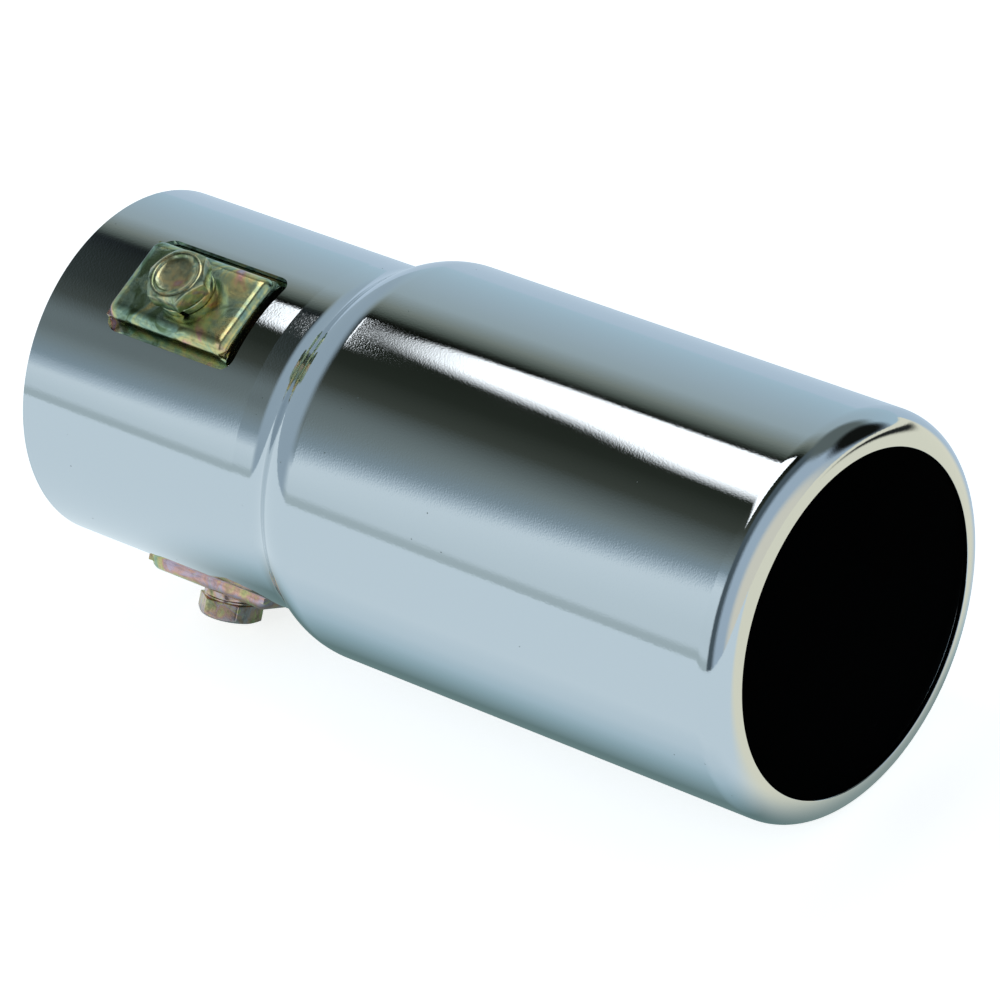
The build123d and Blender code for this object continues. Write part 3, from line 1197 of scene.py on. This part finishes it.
# The strip over the tip is crisp along its far edge and fades out towards the camera
LIGHT_SHEETS = [
    LightSheet(
        "strip_light",
        far=((-438.0, 17.0), (-415.0, 21.0), (-395.0, 23.0), (-350.0, 24.0), (64.0, 25.0)),
        near=((-438.0, 13.0), (-410.0, 10.5), (-395.0, 9.0), (-375.0, 8.0), (-343.0, 6.0), (-310.0, 1.0),
              (-281.0, 0.0), (-200.0, -1.5), (-120.0, -5.0), (-40.0, -9.0), (30.0, -15.0), (64.0, -17.0)),
        fade=6.0,
        strength=1.9,
        rise=42.0,
    ),
    LightSheet(
        "side_light",
        far=((-492.0, 22.0), (-448.0, 24.0)),
        near=((-492.0, 8.0), (-470.0, 5.0), (-448.0, 3.0)),
        fade=5.0,
        strength=1.8,
        rise=8.0,
    ),
]


@dataclass(frozen=True)
class Studio:
    """Pale floor, soft light from all round with two sheets overhead, and the camera. Lengths in metres."""

    camera_place: tuple[float, float, float] = (0.7368, -0.6167, 0.6590)
    camera_right: tuple[float, float, float] = (0.76127, 0.62779, -0.16236)
    camera_up: tuple[float, float, float] = (-0.28279, 0.54675, 0.78810)
    camera_back: tuple[float, float, float] = (0.58352, -0.55404, 0.59375)
    lens: float = 221.36  # millimetres, as the sensor's width
    sensor: float = 36.0
    clip: tuple[float, float] = (0.01, 50.0)
    floor_height: float = -0.038
    floor_size: float = 6.0
    paper: str = "#F0F0F0"
    paper_glow: float = 0.75  # added where the camera sees the paper, so that it is white there
    # Painted light on the paper, which only the chrome sees: near the tip, on the far side, and in front of the mouth
    near_paper_painted_light: str = "#E5F3FA"
    far_paper_painted_cool_light: str = "#C6D9E9"
    front_paper_painted_warm_light: str = "#FFFAE2"
    stand_place: tuple[float, float] = (0.40, 0.42)
    # Painted dark patch on the floor for a stand that isn't built, seen only in the chrome
    stand_painted_dark_patch: str = "#2A2C2A"
    # Where each tone of the floor starts and where it is full: from the axis, from the cut end or from the stand
    far_edge: tuple[float, float] = (0.01, 0.10)
    front_edge: tuple[float, float] = (0.155, 0.19)
    near_edge: tuple[float, float] = (-0.05, -0.015)
    stand_edge: tuple[float, float] = (0.24, 0.12)
    rear_shade_edge: tuple[float, float] = (0.0, 0.04)
    front_shade_edge: tuple[float, float] = (0.19, 0.16)
    contact_width: float = 0.08  # of the painted shadow under the tip, to each side
    # Tones of the painted shadow under the tip, from right under it out to the side
    contact: tuple[tuple[float, str], ...] = (
        (0.36, "#7C8E8A"), (0.50, "#B4C6C8"), (0.60, "#D6E2E6"), (0.74, "#F0F4F6"), (1.0, "#FFFFFF")
    )
    # Tones of the surroundings, by their angle from up, from the camera's side to the far side
    walls: tuple[tuple[float, str], ...] = (
        (-90, "#BFCED1"), (-87, "#BFCED1"), (-84, "#DCEAF0"), (-76, "#E0EEF4"), (-60, "#E8F5FB"), (-56, "#C4D4DE"),
        (-50, "#93A5AE"), (-38, "#838F8F"), (-20, "#464B44"), (-6, "#2E332C"), (14, "#20251E"), (26, "#0A0D08"),
        (28.5, "#262B25"), (31.5, "#596159"), (38, "#8B938B"), (50, "#B0C0C4"), (64, "#B6C9D2"), (90, "#BCD6E4"),
    )
    # The pale card at the side stands askew, and its upper edge climbs towards the mouth: where the card ends, as the
    # part along +X of the way there, and how far the edge is out there, in radians
    card_ends: tuple[float, float] = (-0.6335, -0.5385)
    card_lean: tuple[float, float] = (-0.2, 0.18)
    # Where its lower and its upper edge start and where they are full, in degrees from up
    card_low: tuple[float, float] = (-84, -72)
    card_high: tuple[float, float] = (-30, -46)
    # The other cards: where each one starts and where it is full, as the part along +X of the way there, and for the
    # band along the lip also in degrees from up
    rear_edge: tuple[float, float] = (-0.62, -0.80)
    lip_edge: tuple[float, float] = (0.02, 0.14)
    lip_side: tuple[float, float] = (70, 30)
    mouth_edge: tuple[float, float] = (0.27, 0.5)
    front_wall_edge: tuple[float, float] = (0.74, 0.93)
    rear_wall: str = "#AABCC8"
    edge_band: str = "#56636A"
    mouth_card: str = "#B9CBDA"
    front_wall: str = "#F4EEDC"
    # Two dark things behind the mouth: way there, angle that each one covers from its middle, and its tone
    things: tuple[tuple[tuple[float, float, float], float, str], ...] = (
        ((0.25, 0.77, 0.587), 25.0, "#6A7472"),
        ((0.51, 0.82, 0.25), 21.0, "#171917"),
    )
    thing_core: float = 0.55  # share of that angle that has the full tone

    def build(self) -> None:
        """Makes the whole studio."""
        self.place_camera()
        self.lay_floor()
        self.light()

    def place_camera(self) -> None:
        """Sets the camera where the photograph was taken from."""
        data = bpy.data.cameras.new("camera")
        data.sensor_width = self.sensor
        data.lens = self.lens
        data.clip_start, data.clip_end = self.clip
        camera = bpy.data.objects.new("camera", data)
        turn = Matrix((self.camera_right, self.camera_up, self.camera_back)).transposed()
        camera.matrix_world = Matrix.Translation(Vector(self.camera_place)) @ turn.to_4x4()
        bpy.context.scene.collection.objects.link(camera)
        bpy.context.scene.camera = camera

    def lay_floor(self) -> None:
        """Lays a white floor that keeps the tip's shadow."""
        half, z = self.floor_size / 2, self.floor_height
        mesh = bpy.data.meshes.new("floor")
        mesh.from_pydata([(-half, -half, z), (half, -half, z), (half, half, z), (-half, half, z)], [], [(0, 1, 2, 3)])
        material = bpy.data.materials.new("floor_paper")
        material.use_nodes = True
        tree = material.node_tree
        tree.nodes.clear()
        paper = add_node(tree, "ShaderNodeBsdfDiffuse", {"Color": to_linear(self.paper)})
        path = add_node(tree, "ShaderNodeLightPath").outputs
        glow = add_node(tree, "ShaderNodeMath", {0: path["Is Camera Ray"], 1: self.paper_glow}, operation="MULTIPLY")
        lit = add_node(tree, "ShaderNodeEmission", {"Color": to_linear("#FFFFFF"), "Strength": glow})
        seen = add_node(tree, "ShaderNodeAddShader", {0: paper, 1: lit})
        # As the chrome shows it, painted light and shade: painted cool light on the far side, painted warm light in
        # front of the mouth, a painted dark patch for a stand that isn't built, and a painted shadow under the barrel
        spot = add_node(tree, "ShaderNodeTexCoord").outputs["Object"]
        parts = add_node(tree, "ShaderNodeSeparateXYZ", {0: spot}).outputs
        away = add_node(tree, "ShaderNodeVectorMath", {0: spot, 1: (*self.stand_place, z)}, operation="DISTANCE")
        far, front, near, stand, from_rear, from_front = (
            add_node(
                tree,
                "ShaderNodeMapRange",
                {"Value": value, "From Min": start, "From Max": stop},
                interpolation_type="SMOOTHSTEP",
            )
            for value, (start, stop) in (
                (parts["Y"], self.far_edge),
                (parts["X"], self.front_edge),
                (parts["Y"], self.near_edge),
                (away.outputs["Value"], self.stand_edge),
                (parts["X"], self.rear_shade_edge),
                (parts["X"], self.front_shade_edge),
            )
        )
        painted_warm_light, under = (
            add_node(tree, "ShaderNodeMath", {0: one, 1: other}, operation="MULTIPLY")
            for one, other in ((front, near), (from_rear, from_front))
        )
        tone = lay_over(
            tree,
            self.near_paper_painted_light,
            [(far, self.far_paper_painted_cool_light), (painted_warm_light, self.front_paper_painted_warm_light), (stand, self.stand_painted_dark_patch)],
        )
        # Painted shadow under the barrel, darkest along the axis, which only the chrome sees
        aside = add_node(tree, "ShaderNodeMath", {0: parts["Y"]}, operation="ABSOLUTE")
        contact = add_node(tree, "ShaderNodeMapRange", {"Value": aside, "From Max": self.contact_width})
        shade = add_node(tree, "ShaderNodeValToRGB", {"Fac": contact})
        set_stops(shade.color_ramp, list(self.contact))
        tint = add_node(tree, "ShaderNodeMix", {0: under, 6: tone, 7: shade}, data_type="RGBA", blend_type="MULTIPLY")
        # The chrome sees this painted floor light and shade; the camera sees the white paper with its real shadow
        mirrored = add_node(tree, "ShaderNodeEmission", {"Color": tint.outputs[2], "Strength": 1.0})
        both = add_node(tree, "ShaderNodeMixShader", {0: path["Is Glossy Ray"], 1: seen, 2: mirrored})
        add_node(tree, "ShaderNodeOutputMaterial", {"Surface": both})
        mesh.materials.append(material)
        floor = bpy.data.objects.new("floor", mesh)
        bpy.context.scene.collection.objects.link(floor)

    def light(self) -> None:
        """Lights the studio from all round and hangs the sheets."""
        world = bpy.data.worlds.new("studio")
        world.use_nodes = True
        bpy.context.scene.world = world
        tree = world.node_tree
        tree.nodes.clear()
        sight = add_node(tree, "ShaderNodeTexCoord").outputs["Generated"]
        parts = add_node(tree, "ShaderNodeSeparateXYZ", {0: sight}).outputs
        angle = add_node(tree, "ShaderNodeMath", {0: parts["Y"], 1: parts["Z"]}, operation="ARCTAN2")
        things = [
            (add_node(tree, "ShaderNodeVectorMath", {0: sight, 1: way}, operation="DOT_PRODUCT").outputs["Value"],
             (math.cos(math.radians(wide)), math.cos(math.radians(wide * self.thing_core))))
            for way, wide, _ in self.things
        ]
        card_low, card_high, rear, lip, lip_side, card, front, *shares = (
            add_node(
                tree,
                "ShaderNodeMapRange",
                {"Value": value, "From Min": start, "From Max": stop},
                interpolation_type="SMOOTHSTEP",
            )
            for value, (start, stop) in (
                (angle, map(math.radians, self.card_low)),
                (angle, map(math.radians, self.card_high)),
                (parts["X"], self.rear_edge),
                (parts["X"], self.lip_edge),
                (angle, map(math.radians, self.lip_side)),
                (parts["X"], self.mouth_edge),
                (parts["X"], self.front_wall_edge),
                *things,
            )
        )
        askew = add_node(
            tree,
            "ShaderNodeMapRange",
            {"Value": parts["X"], "From Min": self.card_ends[0], "From Max": self.card_ends[1],
             "To Min": self.card_lean[0], "To Max": self.card_lean[1]},
        )
        held = add_node(tree, "ShaderNodeMath", {0: card_low, 1: card_high}, operation="MULTIPLY")
        lift = add_node(tree, "ShaderNodeMath", {0: askew, 1: held}, operation="MULTIPLY")
        sloped = add_node(tree, "ShaderNodeMath", {0: angle, 1: lift}, operation="SUBTRACT")
        share = add_node(
            tree, "ShaderNodeMapRange", {"Value": sloped, "From Min": -math.pi / 2, "From Max": math.pi / 2}
        )
        walls = add_node(tree, "ShaderNodeValToRGB", {"Fac": share})
        set_stops(walls.color_ramp, [((degrees + 90) / 180, code) for degrees, code in self.walls])
        band = add_node(tree, "ShaderNodeMath", {0: lip, 1: lip_side}, operation="MULTIPLY")
        path = add_node(tree, "ShaderNodeLightPath").outputs
        tone = lay_over(
            tree,
            walls,
            [
                (rear, self.rear_wall),
                (band, self.edge_band),
                (card, self.mouth_card),
                (front, self.front_wall),
                *((share, code) for share, (_, _, code) in zip(shares, self.things)),
                (path["Is Camera Ray"], "#FFFFFF"),
            ],
        )
        sky = add_node(tree, "ShaderNodeBackground", {"Color": tone, "Strength": 1.0})
        add_node(tree, "ShaderNodeOutputWorld", {"Surface": sky})
        for sheet in LIGHT_SHEETS:
            sheet.hang()


STATIONS = [
    Station(1, Body.BOLT_1, angle=-19.0, along=29.5, turn=2.0),
    Station(2, Body.BOLT_2, angle=-148.5, along=31.1, turn=-22.0),
    Station(3, Body.BOLT_3, angle=96.5, along=30.3, turn=31.0),
]


def main() -> None:
    """Builds the tip and its studio in order."""
    logging.basicConfig(level=logging.INFO, format="%(name)s: %(message)s")
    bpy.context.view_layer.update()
    bpy.context.scene.view_settings.view_transform = "Standard"
    finishes = Finishes.make()
    TipShell(STATIONS).build(finishes)
    for station in STATIONS:
        ClampBracket().build(station, finishes.bracket)
        SpringWasher().build(station, finishes.bolt)
        ClampBolt().build(station, finishes.bolt)
    Studio().build()


if __name__ == "__main__":
    main()
